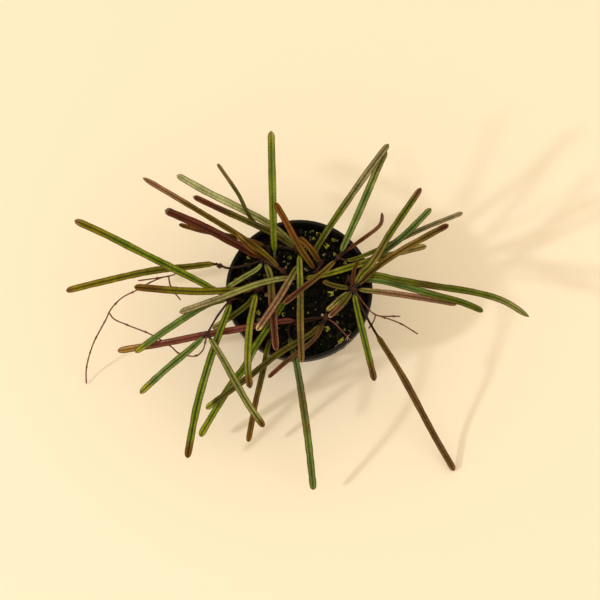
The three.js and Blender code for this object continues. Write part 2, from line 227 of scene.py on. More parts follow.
bend = np.array([(0, 0, 0), (9, 0, 2), (18, 0, 0)], float)
print("a bend through 3 points becomes", len(smooth_path(bend, 1.5)[0]), "rings")

# %% A shape gathers rings


class Shape:
    """Closed bodies gathered for one piece, in mm, with the marks that its material reads."""

    def __init__(self):
        self.points, self.faces, self.marks, self.count = [], [], {}, 0

    def add(self, points, faces, **marks):
        """Adds a body. A mark has a value for each point, or one number or colour for all."""
        self.points.append(np.asarray(points, float))
        self.faces += [tuple(i + self.count for i in face) for face in faces]
        for name, value in marks.items():
            value = np.asarray(value, float)
            if value.shape in ((), (4,)):
                value = np.broadcast_to(value, (len(points), *value.shape))
            self.marks.setdefault(name, []).append(value)
        self.count += len(points)

    def sweep(self, rings, **marks):
        """Adds a body from rings of points. A mark can change along it, around it, or both."""
        count, sides = rings.shape[:2]
        faces = [(i * sides + j, i * sides + (j + 1) % sides, (i + 1) * sides + (j + 1) % sides,
                  (i + 1) * sides + j) for i in range(count - 1) for j in range(sides)]
        faces += [tuple(reversed(range(sides))), tuple(range((count - 1) * sides, count * sides))]
        self.add(rings.reshape(-1, 3), faces, **{
            name: np.broadcast_to(value, (count, sides)).ravel() if np.ndim(value) == 2 else value
            for name, value in marks.items()})

    def piece(self, name, material, slot, replaced=None, smooth=True):
        """The finished object. It rides on the one body, and takes its finish from the material.
        The slot is not used.
        """
        mesh = bpy.data.meshes.new(name)
        mesh.from_pydata(np.concatenate(self.points) * MM, [], self.faces)
        for mark, values in self.marks.items():
            values = np.concatenate(values)
            kind = "FLOAT" if values.ndim == 1 else "FLOAT_COLOR"
            layer = mesh.attributes.new(mark, kind, "POINT")
            layer.data.foreach_set("value" if kind == "FLOAT" else "color", values.ravel())
        mesh.polygons.foreach_set("use_smooth", [smooth] * len(mesh.polygons))
        mesh.materials.append(material)
        mesh.update()
        piece = bpy.data.objects.new(name, mesh)
        scene.collection.objects.link(piece)
        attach(piece, "root")
        if replaced:
            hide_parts(replaced)
        print(f"{piece.name}: {sum(len(p.vertices) - 2 for p in mesh.polygons)} triangles")
        return piece

# %% [markdown]
# ## The leaf blade
# A leaf of this hoya is a thick strap with a sunk midrib. Its two halves rise from the midrib to
# raised, rounded edges, and a blunt keel runs underneath. A flat strip with a painted line would
# look right only from above, so the whole section is modelled. The round stalk opens into it
# over a few millimetres, and small swellings and a slight twist keep one leaf from the next.

# %% What one leaf is


@dataclass
class Leaf:
    """One leaf, with its lengths in mm. Its tones are those of its body, its edge and its tip."""
    width: float
    stalk: float            # length of the round stalk, before the blade opens
    route: list             # points on its way from the stem to its tip
    tones: str
    share: float = 0.0      # share of its length that the tip's tone covers
    point: float = 1.0      # length of its rounded tip, in widths
    start: int = 0          # which point of its stem it grows from
    patches: tuple = ()     # patches of the edge's tone: place and reach, as shares of its length
    cap: str = ""           # tone of the very tip, where it isn't the edge's
    cap_reach: float = 1.0  # how many times the usual 2.6 mm the cap reaches back
    stalk_tone: str = "dark"
    # vein and midrib set the width and the brightness of the painted shade down the sunk midrib
    vein: float = 0.28      # how wide the midrib's tone is, as a share of the half width
    midrib: float = 0.48    # brightness of the midrib against the body
    rim: float = 0.86       # where the edge's tone starts, as a share of the half width
    opening: float = 0.0    # length over which the stalk opens, where it isn't the usual one
    joint: tuple = ()       # a joint part way along the stalk

# %% The leaf's section
ACROSS_TOP = np.array([-1, -0.94, -0.85, -0.71, -0.55, -0.38, -0.24, -0.13, -0.05, 0,
                       0.05, 0.13, 0.24, 0.38, 0.55, 0.71, 0.85, 0.94, 1])
ACROSS_BELOW = np.array([0.86, 0.68, 0.48, 0.3, 0.13, 0, -0.13, -0.3, -0.48, -0.68, -0.86])
EDGE_THICKNESS = 0.8
STALK_RADIUS = 1.0


def blade_section(width):
    """The open blade's corners as shares of its half width across and mm up, and their marks."""
    # Heights are shares of the width, so a wide leaf is a thick one too
    lift, dip, thickness = 0.10 * width, 0.05 * width, max(0.30 * width, 1.4)
    u = np.abs(ACROSS_TOP)
    top = -dip + (lift + dip) * u + 0.035 * width * np.sin(np.pi * u) \
        - 0.03 * width * np.exp(-(u / 0.09) ** 2)
    v = np.abs(ACROSS_BELOW) / 0.86
    below = (lift - EDGE_THICKNESS) * v - (dip + thickness) * (1 - v) \
        - 0.04 * width * np.sin(np.pi * v) - 0.03 * width * np.exp(-(v / 0.14) ** 2)
    rim = [(1.03, lift - 0.3 * EDGE_THICKNESS), (0.98, lift - 0.75 * EDGE_THICKNESS)]
    across = [*ACROSS_TOP, *(a for a, _ in rim), *ACROSS_BELOW, *(-a for a, _ in reversed(rim))]
    up = [*top, *(b for _, b in rim), *below, *(b for _, b in reversed(rim))]
    mark = [*ACROSS_TOP, 1, 1, *(ACROSS_BELOW / 0.86), -1, -1]
    under = [0] * len(top) + [0.4, 0.8] + [1] * len(below) + [0.8, 0.4]
    angle = np.radians([*(90 - 72 * ACROSS_TOP), 8, -6, *(-90 + 70 * ACROSS_BELOW / 0.86),
                        186, 172])
    return (np.array(across), np.array(up), np.array(mark), np.array(under),
            np.stack([np.cos(angle), np.sin(angle)], axis=1))


def eased(x):
    x = np.clip(x, 0, 1)
    return x * x * (3 - 2 * x)


def leaf_outline(at, length, one):
    """Half the width at each distance along the leaf, and how far its section has opened."""
    tip = one.width * one.point
    open_to = one.stalk + (one.opening or min(0.1 * (length - one.stalk), 6))
    share = np.clip((at - open_to) / (length - tip - open_to), 0, 1)
    strap = one.width * (0.5 - 0.3 * np.maximum(0, 0.35 - share) - 0.04 * share ** 2)
    opening = eased((at - one.stalk) / (open_to - one.stalk))
    half = STALK_RADIUS + (strap - STALK_RADIUS) * opening
    into_tip = np.clip((at - (length - tip)) / tip, 0, 1)
    return half * np.sqrt(np.clip(1 - into_tip ** 2.2, 0.012, 1)), opening


print("a leaf has", len(blade_section(6)[0]), "points around it")

# %% One leaf


def wander(seed, at, pitch):
    """A smooth random curve between about -1 and 1, with a bend every pitch mm or so."""
    return np.array([noise.noise(Vector((a / pitch, seed * 7.3, 0.5))) for a in at]) * 1.6


def grow_leaf(shape, base, one, seed):
    """Adds one leaf, from its stem's point base, with the marks that the leaf skin reads."""
    points, along, at = smooth_path(np.array([base, *one.route], float), step=1.5,
                                    tip=one.width * one.point)
    length = at[-1]
    half, opened = leaf_outline(at, length, one)
    # The width swells slowly and quickly by a few percent, and the blade twists by 5 degrees
    half = half * (1 + opened * (0.045 * wander(seed, at, 11) + 0.035 * wander(seed + 60, at, 4)))
    twist = (np.radians(5) * opened * wander(seed + 40, at, 45))[:, None]
    sides, ups = carried_frame(along)
    sides, ups = (sides * np.cos(twist) + ups * np.sin(twist),
                  ups * np.cos(twist) - sides * np.sin(twist))
    # The section opens from the stalk's circle, and each edge ripples by itself
    across, up, mark, under, circle = blade_section(one.width)
    half, opened = half[:, None], opened[:, None]
    left, right = (wander(seed + k, at, 6)[:, None] * 0.03 * one.width for k in (9, 19))
    raised = up * np.minimum(1, half / (0.4 * one.width)) \
        + np.where(mark < 0, left, right) * mark ** 2
    x = half * (circle[:, 0] * (1 - opened) + across * opened)
    y = half * circle[:, 1] * (1 - opened) + raised * opened
    rings = points[:, None] + x[..., None] * sides[:, None] + y[..., None] * ups[:, None]
    flush = patch = np.zeros_like(at)
    if one.share:
        flush = eased((at / length - (1 - one.share * 1.5)) / (one.share * 1.1))
    for place, reach in one.patches:
        patch = np.maximum(patch, np.exp(-((at / length - place) / reach) ** 2))
    body, edge, tip = one.tones.split()
    worn = {"body": body, "edge": edge, "tip": tip, "cap": one.cap or edge,
            "stalk": one.stalk_tone}
    shape.sweep(rings, across=mark[None], under=under[None], along_mm=at[:, None], side_mm=x,
                to_tip_mm=(length - at)[:, None] / one.cap_reach, opened=opened,
                flush=flush[:, None], patch=patch[:, None], leaf_seed=seed, vein_share=one.vein,
                midrib=one.midrib, rim_from=one.rim,
                **{part + "_tone": TONE[tone] for part, tone in worn.items()})

# %% [markdown]
# ## The waxy leaf skin
# The skin is a thick cuticle over dark green flesh: satin rather than glossy, with the IOR of
# plant wax. Each leaf is flushed brown or maroon at its edges and tip where strong light has
# reddened it. Painted shade darkens the sunk midrib and, in part, a thin line along each edge,
# and painted light brightens both slopes. All leaves share one material, and the marks on each
# leaf say where a point lies and which tones that leaf has.

# %% Leaf skin material
PLANT_WAX_IOR = 1.45
MOTTLE_MM = 2.6      # blotches of paler flesh along the leaf
CROSS_VEIN_MM = 1.3  # faint bars where side veins meet the midrib
DRIFT_MM = 14.0      # slow change from darker to lighter along the leaf
PIT_MM = 0.5         # real pits are about 0.2 mm, and are drawn coarser so that they show

leaf_skin, tree = start_material("waxy_leaf_skin")
MARKS = ("across under along_mm side_mm to_tip_mm opened flush patch leaf_seed vein_share midrib "
         "rim_from body_tone edge_tone tip_tone cap_tone stalk_tone").split()
marks = {name: add(tree, "Attribute", attribute_name=name).outputs[
    "Color" if name.endswith("tone") else "Fac"] for name in MARKS}
off_centre = add(tree, "Math", (marks["across"],), operation="ABSOLUTE")
place_mm = add(tree, "CombineXYZ", {"X": marks["along_mm"], "Y": marks["side_mm"],
                                    "Z": marks["leaf_seed"]})
mottle, bars, pits, drift = (
    add(tree, "TexNoise", {
        "Vector": add(tree, "VectorMath", (place_mm, stretch), operation="MULTIPLY"),
        "Scale": 1 / size_mm, "Detail": detail, "Roughness": roughness})
    for stretch, size_mm, detail, roughness in (
        ((0.45, 1.0, 9.0), MOTTLE_MM, 3.0, 0.55), ((1.0, 0.3, 9.0), CROSS_VEIN_MM, 1.0, 0.4),
        ((1.0, 1.0, 1.0), PIT_MM, 2.0, 0.5), ((1.0, 0.5, 31.0), DRIFT_MM, 1.0, 0.5)))
print("leaf skin reads", len(marks), "marks")

# %% Leaf skin colour: the flush, then painted light on the slopes
# The flush starts at the edges and is blotched, so the tip's tone has no hard border.
lead = add(tree, "Math", (off_centre, 0.45, marks["flush"]), operation="MULTIPLY_ADD")
lead = add(tree, "Math", (mottle, 0.6, lead), operation="MULTIPLY_ADD")
flushed = add(tree, "MapRange", {"Value": lead, "From Min": 0.5, "From Max": 1.35},
              interpolation_type="SMOOTHSTEP")
any_flush = add(tree, "Math", (marks["flush"], 5.0), operation="MULTIPLY", use_clamp=True)
flushed = add(tree, "Math", (flushed, any_flush), operation="MULTIPLY")
toned = add(tree, "Mix", {"Factor": flushed, "A": marks["body_tone"], "B": marks["tip_tone"]},
            data_type="RGBA")
# Painted light: a brighter copy of the tone is laid over both slopes of the channel, so that they
# look lit
painted_light_tone = add(tree, "HueSaturation", {"Color": toned, "Value": 1.5, "Saturation": 1.05})
wavy = add(tree, "Math", (mottle, 0.24, off_centre), operation="MULTIPLY_ADD")
wavy = add(tree, "Math", (wavy, 0.12), operation="SUBTRACT")
slope = add(tree, "MapRange", {"Value": wavy, "From Min": marks["vein_share"], "From Max": 0.42},
            interpolation_type="SMOOTHSTEP")
slope_end = add(tree, "MapRange", {"Value": wavy, "From Min": 0.5, "From Max": 0.85, "To Min": 1.0,
                                   "To Max": 0.3})
painted_light_share = add(tree, "Math", (slope, slope_end), operation="MULTIPLY")
painted_light_share = add(tree, "Math", (painted_light_share, mottle), operation="MULTIPLY")
painted_light_share = add(tree, "Math", (painted_light_share, 1.7), operation="MULTIPLY", use_clamp=True)
flesh = add(tree, "Mix", {"Factor": painted_light_share, "A": toned, "B": painted_light_tone}, data_type="RGBA")

# Brown rims, wider where the mottle is strong, and a cap that reaches back from the tip
rim_wobble = add(tree, "Math", (mottle, 0.35, off_centre), operation="MULTIPLY_ADD")
rim_to = add(tree, "Math", (marks["rim_from"], 0.24), operation="ADD")
rim = add(tree, "MapRange", {"Value": rim_wobble, "From Min": marks["rim_from"],
                             "From Max": rim_to}, interpolation_type="SMOOTHSTEP")
patched = add(tree, "Math", (marks["patch"], mottle), operation="MULTIPLY")
patched = add(tree, "Math", (patched, 1.7), operation="MULTIPLY", use_clamp=True)
rim = add(tree, "Math", (rim, patched), operation="MAXIMUM")
rim = add(tree, "Math", (rim, 0.9), operation="MULTIPLY")
rimmed = add(tree, "Mix", {"Factor": rim, "A": flesh, "B": marks["edge_tone"]}, data_type="RGBA")
cap = add(tree, "MapRange", {"Value": marks["to_tip_mm"], "From Min": 2.6, "From Max": 0.7,
                             "To Max": 0.85}, interpolation_type="SMOOTHSTEP")
capped = add(tree, "Mix", {"Factor": cap, "A": rimmed, "B": marks["cap_tone"]}, data_type="RGBA")
# A thin dark line along every edge: partly the edge's own darker brown, partly painted shade like
# that where one leaf lies over another
edge_line_and_shade = add(tree, "MapRange", {"Value": off_centre, "From Min": 0.84, "From Max": 1.0,
                                 "To Max": 0.7}, interpolation_type="SMOOTHSTEP")
dark_edge_and_shade = add(tree, "HueSaturation", {"Color": marks["edge_tone"], "Value": 0.45})
outlined = add(tree, "Mix", {"Factor": edge_line_and_shade, "A": capped, "B": dark_edge_and_shade}, data_type="RGBA")
print("leaf skin has flush, flesh, rim, cap and outline")

# %% Leaf skin colour: painted shade in the midrib, the underside and the finish
# Painted shade down the sunk midrib: the tone is dimmed there by the leaf's midrib value, on the
# upper side only
groove_to = add(tree, "Math", (marks["vein_share"], 0.7), operation="MULTIPLY")
groove_shade_share = add(tree, "MapRange", {"Value": wavy, "From Min": marks["vein_share"],
                                "From Max": groove_to}, interpolation_type="SMOOTHSTEP")
upper = add(tree, "Math", (1.0, marks["under"]), operation="SUBTRACT")
groove_shade_share = add(tree, "Math", (groove_shade_share, upper), operation="MULTIPLY")
groove_shade_share = add(tree, "Math", (groove_shade_share, 0.9), operation="MULTIPLY")
painted_groove_shade = add(tree, "HueSaturation", {"Color": toned, "Value": marks["midrib"], "Hue": 0.505})
grooved = add(tree, "Mix", {"Factor": groove_shade_share, "A": outlined, "B": painted_groove_shade}, data_type="RGBA")
bar_dark = add(tree, "MapRange", {"Value": bars, "From Min": 0.3, "From Max": 0.7, "To Min": 0.8,
                                  "To Max": 1.2})
drift_dark = add(tree, "MapRange", {"Value": drift, "From Min": 0.3, "From Max": 0.7,
                                    "To Min": 0.72, "To Max": 1.14})
dimmed = add(tree, "Math", (bar_dark, drift_dark), operation="MULTIPLY")
barred_skin = add(tree, "VectorMath", (grooved.outputs[2], dimmed), operation="MULTIPLY")
below = add(tree, "HueSaturation", {"Color": barred_skin, "Value": 1.1, "Saturation": 0.85})
both = add(tree, "Mix", {"Factor": marks["under"], "A": barred_skin, "B": below}, data_type="RGBA")
opened_late = add(tree, "MapRange", {"Value": marks["opened"], "From Min": 0.02, "From Max": 0.6},
                  interpolation_type="SMOOTHSTEP")
stalk = add(tree, "VectorMath", (marks["stalk_tone"], bar_dark), operation="MULTIPLY")
skin = add(tree, "Mix", {"Factor": opened_late, "A": stalk, "B": both}, data_type="RGBA")
satin = add(tree, "MapRange", {"Value": mottle, "To Min": 0.22, "To Max": 0.42})
relief = add(tree, "Math", (pits, 0.35, bars), operation="MULTIPLY_ADD")
skin_bump = add(tree, "Bump", {"Height": relief, "Strength": 0.35, "Distance": 0.0002})
show(leaf_skin, add(tree, "BsdfPrincipled", {"Base Color": skin, "Roughness": satin,
                                             "Normal": skin_bump, "IOR": PLANT_WAX_IOR,
                                             "Specular IOR Level": 0.18}))

# %% [markdown]
# ## The plant
# Twelve shoots leave the soil. For each one the solids give where it rises and where its leaves
# run, and the same points are repeated here. Each leaf also says which tones of this plant it
# has: a body, an edge, and a tip with the share of the leaf that it covers. The tones are those
# of one plant in strong light, from sea green in the shade to straw, rust and maroon in the sun.

# %% Tones of this plant, and what one shoot is
TONE = {name: rgba(code) for name, code in dict(
    grass="#5A6C12", moss="#525C12", khaki="#5E6828", mustard="#706808", olive="#5C5A0A",
    fern="#6C7818", pine="#42582A", jade="#5A7034", mist="#98A072", bronze="#5A4A10",
    deep="#46440E", sage="#767C44", lemon="#84882A", chestnut="#4E2C08", umber="#5C4210",
    sienna="#6C4818", brick="#6E3C32", rust="#70400E", hazel="#7A6230", leather="#684E1C",
    plum="#664430", rose="#80604A", maroon="#502818", tan="#8A6C38", gold="#A47C3E",
    wheat="#9A9052", cream="#C6B888", ash="#9A8C76", dust="#7C7658", walnut="#5A4226",
    dark="#2A1710").items()}
PLANT = {}


@dataclass
class Shoot:
    """What leaves the soil at foot and goes up through rise, in mm, with all that grows on it."""
    foot: tuple
    rise: list
    leaves: list
    vines: tuple = ()
    radius: float = 1.4
    knob: float = 2.2  # radius of the swelling where leaves grow
    stub: tuple = ()   # the way that a cut end points, as long as the end


print(len(TONE), "tones")

# %% Shoots at the back and the left
PLANT["stem_left"] = Shoot((-10, 8), [(-13, 11, 93), (-29, 22, 90)], [
    Leaf(4.8, 4, [(-32, 27, 101), (-80, 56, 110), (-127, 84, 114)], "bronze leather rose", 0.28,
         point=2.2, cap="gold"),
    Leaf(7.4, 3, [(-72, 42.3, 104), (-109, 59, 106)], "maroon maroon maroon", 0.1, start=1,
         point=0.7, cap="ash", cap_reach=1.5, vein=0.16),
    Leaf(4.5, 3, [(-33, 24, 98), (-40, 27, 105), (-51, 37, 111)], "umber rust hazel", 0.2,
         start=1),
    Leaf(6.1, 41, [(-40, 18, 90), (-58, 15, 89), (-67, 18.5, 88), (-89, 17, 86.5),
         (-121.5, 13.8, 84), (-161.5, 7.7, 74.5), (-191.5, 2.7, 66)], "olive leather mustard",
         0.28, start=1, cap="brick", cap_reach=3.4, joint=(-64.5, 17.3, 88)),
    Leaf(4.5, 3, [(-33, 15.5, 88.5), (-46, 7, 88), (-60, -2, 86)], "sage khaki moss", 0.1, start=1,
         midrib=0.6),
    Leaf(6, 3, [(-24, 9.5, 90.5), (-21.7, -18.4, 93.5), (-18.5, -56, 93)], "khaki rose maroon",
         0.6, start=1, vein=0.3, rim=0.78),
])
PLANT["stem_back"] = Shoot((3, 29), [(0, 27, 99)], [
    Leaf(6, 3, [(-20.5, 46, 101), (-49, 61, 106), (-75, 74.7, 105.5), (-100, 90, 104)],
         "sage hazel mist", 0.6, cap="cream", vein=0.06, midrib=1.0),
    Leaf(5.3, 3, [(-20, 39, 104), (-40.5, 46, 114), (-66, 56, 120), (-85.5, 64.8, 123)],
         "deep umber maroon", 0.3, cap="ash"),
    Leaf(3.2, 20, [(-20, 39, 98), (-38, 49.5, 109), (-49.5, 70.5, 113), (-66.3, 95, 117)],
         "deep deep hazel", 0.2),
    Leaf(4, 32, [(-20, 34, 88), (-25, 33, 88), (-36, 37, 91), (-58, 41, 94), (-80, 45, 95),
         (-98, 49.8, 97)], "umber chestnut sienna", 0.4),
    Leaf(5.5, 3, [(1, -8, 98), (1, -31, 96), (2, -65, 90)], "grass rose bronze", 0.5, vein=0.3,
         rim=0.8, patches=[(0.42, 0.06)]),
])
PLANT["stem_centre"] = Shoot((6, 2), [(1, 6, 88), (1, 19, 93)], [
    Leaf(5.5, 3, [(-11, 5, 93), (-32, -1, 98), (-64, -12.5, 95), (-97, -22.5, 88)],
         "sage leather dust", 0.36, vein=0.12, cap="ash", midrib=0.6),
    Leaf(5.5, 3, [(17, 8, 90), (41, 15, 91), (66, 22.3, 94), (104, 33, 92)], "fern hazel wheat",
         0.35, cap="cream"),
    Leaf(5.8, 3, [(-7, 4, 97), (-16, -13, 99), (-34, -40, 96)], "khaki rose rose", 0.7, start=1,
         cap="cream", cap_reach=3.0, point=0.8, vein=0.34),
])
PLANT["stem_rear"] = Shoot((18, 25), [(18, 21, 84), (14, 13, 85)], [
    Leaf(5.5, 3, [(0.5, 27, 106), (-12.3, 46.7, 122), (-19.5, 56.7, 131)], "umber bronze rust",
         0.45, start=1, midrib=0.6),
    Leaf(5.5, 3, [(15, 22.5, 90), (9, 29, 98), (0, 36.5, 104)], "umber umber sienna", 0.4),
    Leaf(5.9, 4, [(13.5, 29.5, 86), (18.5, 38.5, 92), (43, 70.5, 112), (60, 92.8, 121),
         (72.5, 108, 128)], "moss hazel dust", 0.45, cap="lemon"),
])
PLANT["shoot_upright"] = Shoot((-20, 27), [(-20, 27, 77)], [
    Leaf(6.2, 10, [(-20, 28, 92), (-20.5, 35, 110), (-21.5, 72, 134), (-22.5, 111.5, 148)],
         "grass hazel lemon", 0.08, opening=18, stalk_tone="sage", midrib=0.95),
])
print("leaves at the back and left:", sum(len(s.leaves) for s in PLANT.values()))

# %% Shoots at the right
PLANT["stem_right"] = Shoot((38, 4), [(41, 5, 92), (44, -5, 96)], [
    Leaf(5.7, 4, [(50, 5, 103), (58, 13, 105), (74, 39, 108), (98.8, 74.5, 116)],
         "moss hazel plum", 0.1, start=1, rim=0.76, cap="maroon", midrib=0.36,
         patches=[(0.35, 0.1)]),
    Leaf(5.7, 4, [(51, 8, 100), (59, 18, 101), (83, 36, 104), (107, 59, 110)], "pine leather jade",
         0.2, start=1),
    Leaf(5.6, 4, [(59.5, 9.5, 99), (74, 20, 102), (106.5, 38.4, 106), (121.2, 46.2, 107)],
         "bronze hazel maroon", 0.1, start=1, rim=0.76, patches=[(0.6, 0.16)]),
    Leaf(5.2, 3, [(82, -9.8, 96), (128, -14.6, 86)], "khaki rose rose", 0.75, start=1, vein=0.26),
    Leaf(5.8, 5, [(70, 1.3, 95), (110, -10, 95), (132.5, -14.8, 90), (149.5, -19.6, 82)],
         "jade leather moss", 0.4, midrib=0.8),
    Leaf(5.6, 5, [(62, 6.5, 97.3), (77, 2.4, 99.2), (106, -3.6, 101), (142.5, -8.4, 97),
         (165.5, -12.7, 88), (187, -23, 78)], "moss chestnut sage", 0.2, point=2.6, midrib=0.8,
         patches=[(0.44, 0.05), (0.4, 0.05)]),
    Leaf(5.5, 3, [(46, -18, 95.5), (52, -44, 93), (61, -76, 74)], "grass leather walnut", 0.2,
         start=1, cap="plum", vein=0.34, midrib=0.36),
    Leaf(5.5, 3, [(34, -18, 94), (24, -27, 90)], "deep umber plum", 0.45, start=1, cap="cream"),
    Leaf(4.8, 5, [(36, -9.5, 91), (27, -17, 89), (22, -21.5, 89)], "khaki hazel wheat", 0.4,
         start=1, rim=0.8),
    Leaf(3.4, 3, [(44.5, 10, 99), (48, 18, 100)], "chestnut umber umber", start=1),
    Leaf(4, 4, [(29, -2, 95), (19, 1.7, 95)], "deep hazel umber", 0.15, start=1),
    Leaf(5.6, 42, [(50, -17, 89), (59, -34, 86), (84, -68, 60), (112, -109, 20), (129, -134, 2.2)],
         "bronze leather walnut", 0.62, start=1, cap="rose", cap_reach=2.4, midrib=0.7),
], vines=[
    [(44, -5, 96), (54, -18, 92), (62, -25, 90), (82, -24.5, 84)],
    [(62, -25, 90), (82, -28, 76), (97, -35.5, 70)],
    [(62, -25, 90), (60, -30, 87), (56, -35, 84)],
])
PLANT["stem_side"] = Shoot((33, 28), [(32, 23, 92)], [
    Leaf(6.1, 4, [(49.7, 59.2, 108), (63.4, 90.3, 117), (70.5, 105.5, 121)], "jade hazel sage",
         0.3),
    Leaf(3.3, 8, [(43, 31, 96), (56, 39.3, 101), (62.5, 43.5, 104), (66.3, 47.5, 106),
         (67.3, 52.5, 108), (67, 56, 109)], "chestnut sienna plum", 0.45, cap="maroon", point=2.0),
    Leaf(4.2, 6, [(39, 20, 94), (62, 26.7, 98), (98.2, 44.6, 98), (133.6, 60.2, 96)],
         "moss leather dust", 0.45, cap="ash"),
    Leaf(4.9, 3, [(19, 9, 96), (1, -8.5, 104), (-12.5, -21, 107)], "bronze hazel maroon", 0.5,
         midrib=0.36, rim=0.8),
])
print("leaves with those at the right:", sum(len(s.leaves) for s in PLANT.values()))

# %% Shoots at the front and the near left
PLANT["stem_front"] = Shoot((20, -22), [(22, -25, 83)], [
    Leaf(5.5, 8, [(11, -38.5, 86), (-15, -56, 88), (-41, -74.3, 79), (-56, -83.3, 70),
         (-76, -93, 50)], "deep leather lemon", 0.08, vein=0.26),
    Leaf(4, 5, [(14, -41.5, 84), (-11, -63.7, 86), (-25, -74.3, 78)], "walnut plum maroon", 0.3),
    Leaf(6, 42, [(4, -28, 80), (-8, -31, 80), (-8.5, -38, 81.5), (-3.5, -58, 85), (0, -76, 80.5),
         (3.5, -97, 72), (7.2, -120, 55), (11.8, -154, 20)], "pine leather jade", 0.45, rim=0.8,
         midrib=0.7, patches=[(0.55, 0.08), (0.66, 0.04)]),
    Leaf(6, 25, [(10, -26, 84), (-3, -28, 84), (-15, -29, 84.5), (-52, -36.5, 86), (-75, -40, 84),
         (-109, -43.8, 73), (-149, -44.5, 52)], "brick maroon tan", 0.16, cap="plum", midrib=0.7),
], knob=3.0, vines=[
    [(22, -25, 83), (29, -30, 82), (39, -41, 82)],
])
PLANT["stem_inner"] = Shoot((-8, -4), [(-9, -7, 82)], [
    Leaf(6.1, 6, [(-13, -15, 87), (-22, -30.7, 89.5), (-35, -50, 85.5), (-43.7, -64.5, 76),
         (-56, -76.5, 60), (-82, -109, 20)], "grass leather fern", 0.12, midrib=0.6),
])
PLANT["stem_near_left"] = Shoot((-30, 0), [(-34, -2, 86)], [
    Leaf(6.3, 3, [(-56, -4.6, 90.5), (-80, -5.9, 92), (-106, -4, 90), (-134, -0.8, 88)],
         "olive leather umber", 0.25),
    Leaf(6, 4, [(-38, -23, 90), (-40, -37, 93), (-41.3, -68, 90), (-39.5, -84, 80.5)],
         "fern rose umber", 0.14, rim=0.8),
    Leaf(4.8, 4, [(-40, -13, 86), (-55, -25.4, 85.5), (-63, -30.8, 85.6), (-70, -36, 87.2)],
         "deep moss wheat", 0.25),
], stub=(6, 1, 1.5))
PLANT["stem_trailing"] = Shoot((-46, -9), [(-54, -11, 88), (-64.5, -24.5, 92), (-74, -42, 94)], [
    Leaf(6.3, 8, [(-67, -4, 87), (-80, 3, 88), (-129.5, 27, 95), (-160, 42.4, 97), (-183, 53, 98)],
         "grass hazel mustard", 0.2, cap="rose", cap_reach=3.2),
    Leaf(6.3, 4, [(-60.5, -30.3, 92), (-70.5, -57.8, 86), (-82, -93, 68), (-91.5, -131, 36)],
         "grass leather umber", 0.1, vein=0.3, midrib=0.36),
    Leaf(5.8, 4, [(-72, -15, 88), (-105, -33, 80), (-133.3, -51, 70)], "jade leather lemon", 0.1,
         midrib=0.9),
    Leaf(5.9, 3, [(-62, -61, 90), (-52.3, -78, 86), (-40.8, -96.4, 76), (-28.3, -111.4, 62)],
         "sage hazel umber", 0.08, start=2, vein=0.34, rim=0.8, midrib=0.45),
    Leaf(5.9, 3, [(-84.5, -51.7, 92), (-108, -69.2, 82), (-129, -84.2, 66)], "jade leather lemon",
         0.16, start=2),
], radius=0.9, knob=1.6, vines=[
    [(-74, -42, 94), (-75.5, -46.5, 88), (-78, -52, 80), (-83, -55, 75), (-89, -54.5, 72),
     (-98.5, -51, 69), (-104, -45.5, 67), (-121.5, -33.6, 63), (-141, -25, 61), (-152.5, -19, 59),
     (-156.5, -13.4, 58)],
    [(-156.5, -13.4, 58), (-154, -9.6, 59), (-149, -4.6, 61), (-144.5, -1.3, 62.5),
     (-133, 3.6, 66), (-123, 8.3, 70), (-112, 12, 73.5), (-107, 12.5, 75), (-101, 14, 76)],
    [(-107, 12.5, 75), (-120, 10, 76), (-132, 8, 77)],
    [(-107, 12.5, 75), (-105, 4, 72), (-97, -6, 68)],
    [(-156.5, -13.4, 58), (-159, -18, 54.5), (-164, -25, 48), (-170, -33, 38), (-175.5, -43, 24),
     (-178.5, -51, 10), (-178.8, -59, 1.2)],
])
PLANT["shoot_front"] = Shoot((-22, -38), [(-22, -38, 76)], [
    Leaf(4.9, 5, [(-24, -45, 82), (-26, -54.3, 85.4), (-28, -64, 80.4), (-32, -78, 68),
         (-35, -87, 56), (-42, -114.5, 24)], "deep umber umber", 0.5, vein=0.18),
])
print("leaves in all:", sum(len(s.leaves) for s in PLANT.values()))

# %% Grow the leaves
for order, (name, stem) in enumerate(PLANT.items()):
    blades = Shape()
    for number, one in enumerate(stem.leaves):
        grow_leaf(blades, stem.rise[one.start], one, order * 20 + number)
    blades.piece("leaves_of_" + name, leaf_skin, "leaf", replaced=name)

# %% [markdown]
# ## Stems, nodes and vines
# The stems are wiry and woody, and swell at each node where leaves grow. The bare vines are the
# young tips of the plant, about a millimetre thick, with a slight bump at every node. A plain
# tube would look like cable, so the radius swells at the nodes and wanders along the way.

# %% Bark materials
LENTICEL_MM = 0.9     # corky specks on the young bark
BARK_PATCH_MM = 11.0  # darker and lighter lengths of bark


def bark_material(name, dark, light, cork):
    """Bark that varies between two browns, with corky specks."""
    made, tree = start_material(name)
    where = add(tree, "TexCoord").outputs["Object"]
    speck = add(tree, "TexNoise", {"Vector": where, "Scale": 1000 / LENTICEL_MM, "Detail": 2.0})
    zone = add(tree, "TexNoise", {"Vector": where, "Scale": 1000 / BARK_PATCH_MM, "Detail": 2.0})
    bark = add(tree, "Mix", {"Factor": zone, "A": rgba(dark), "B": rgba(light)}, data_type="RGBA")
    corky = add(tree, "MapRange", {"Value": speck, "From Min": 0.58, "From Max": 0.72,
                                   "To Max": 0.6}, interpolation_type="SMOOTHSTEP")
    bark = add(tree, "Mix", {"Factor": corky, "A": bark, "B": rgba(cork)}, data_type="RGBA")
    bump = add(tree, "Bump", {"Height": speck, "Strength": 0.5, "Distance": 0.0003})
    show(made, add(tree, "BsdfPrincipled", {"Base Color": bark, "Roughness": 0.6, "Normal": bump,
                                            "Specular IOR Level": 0.25}))
    return made


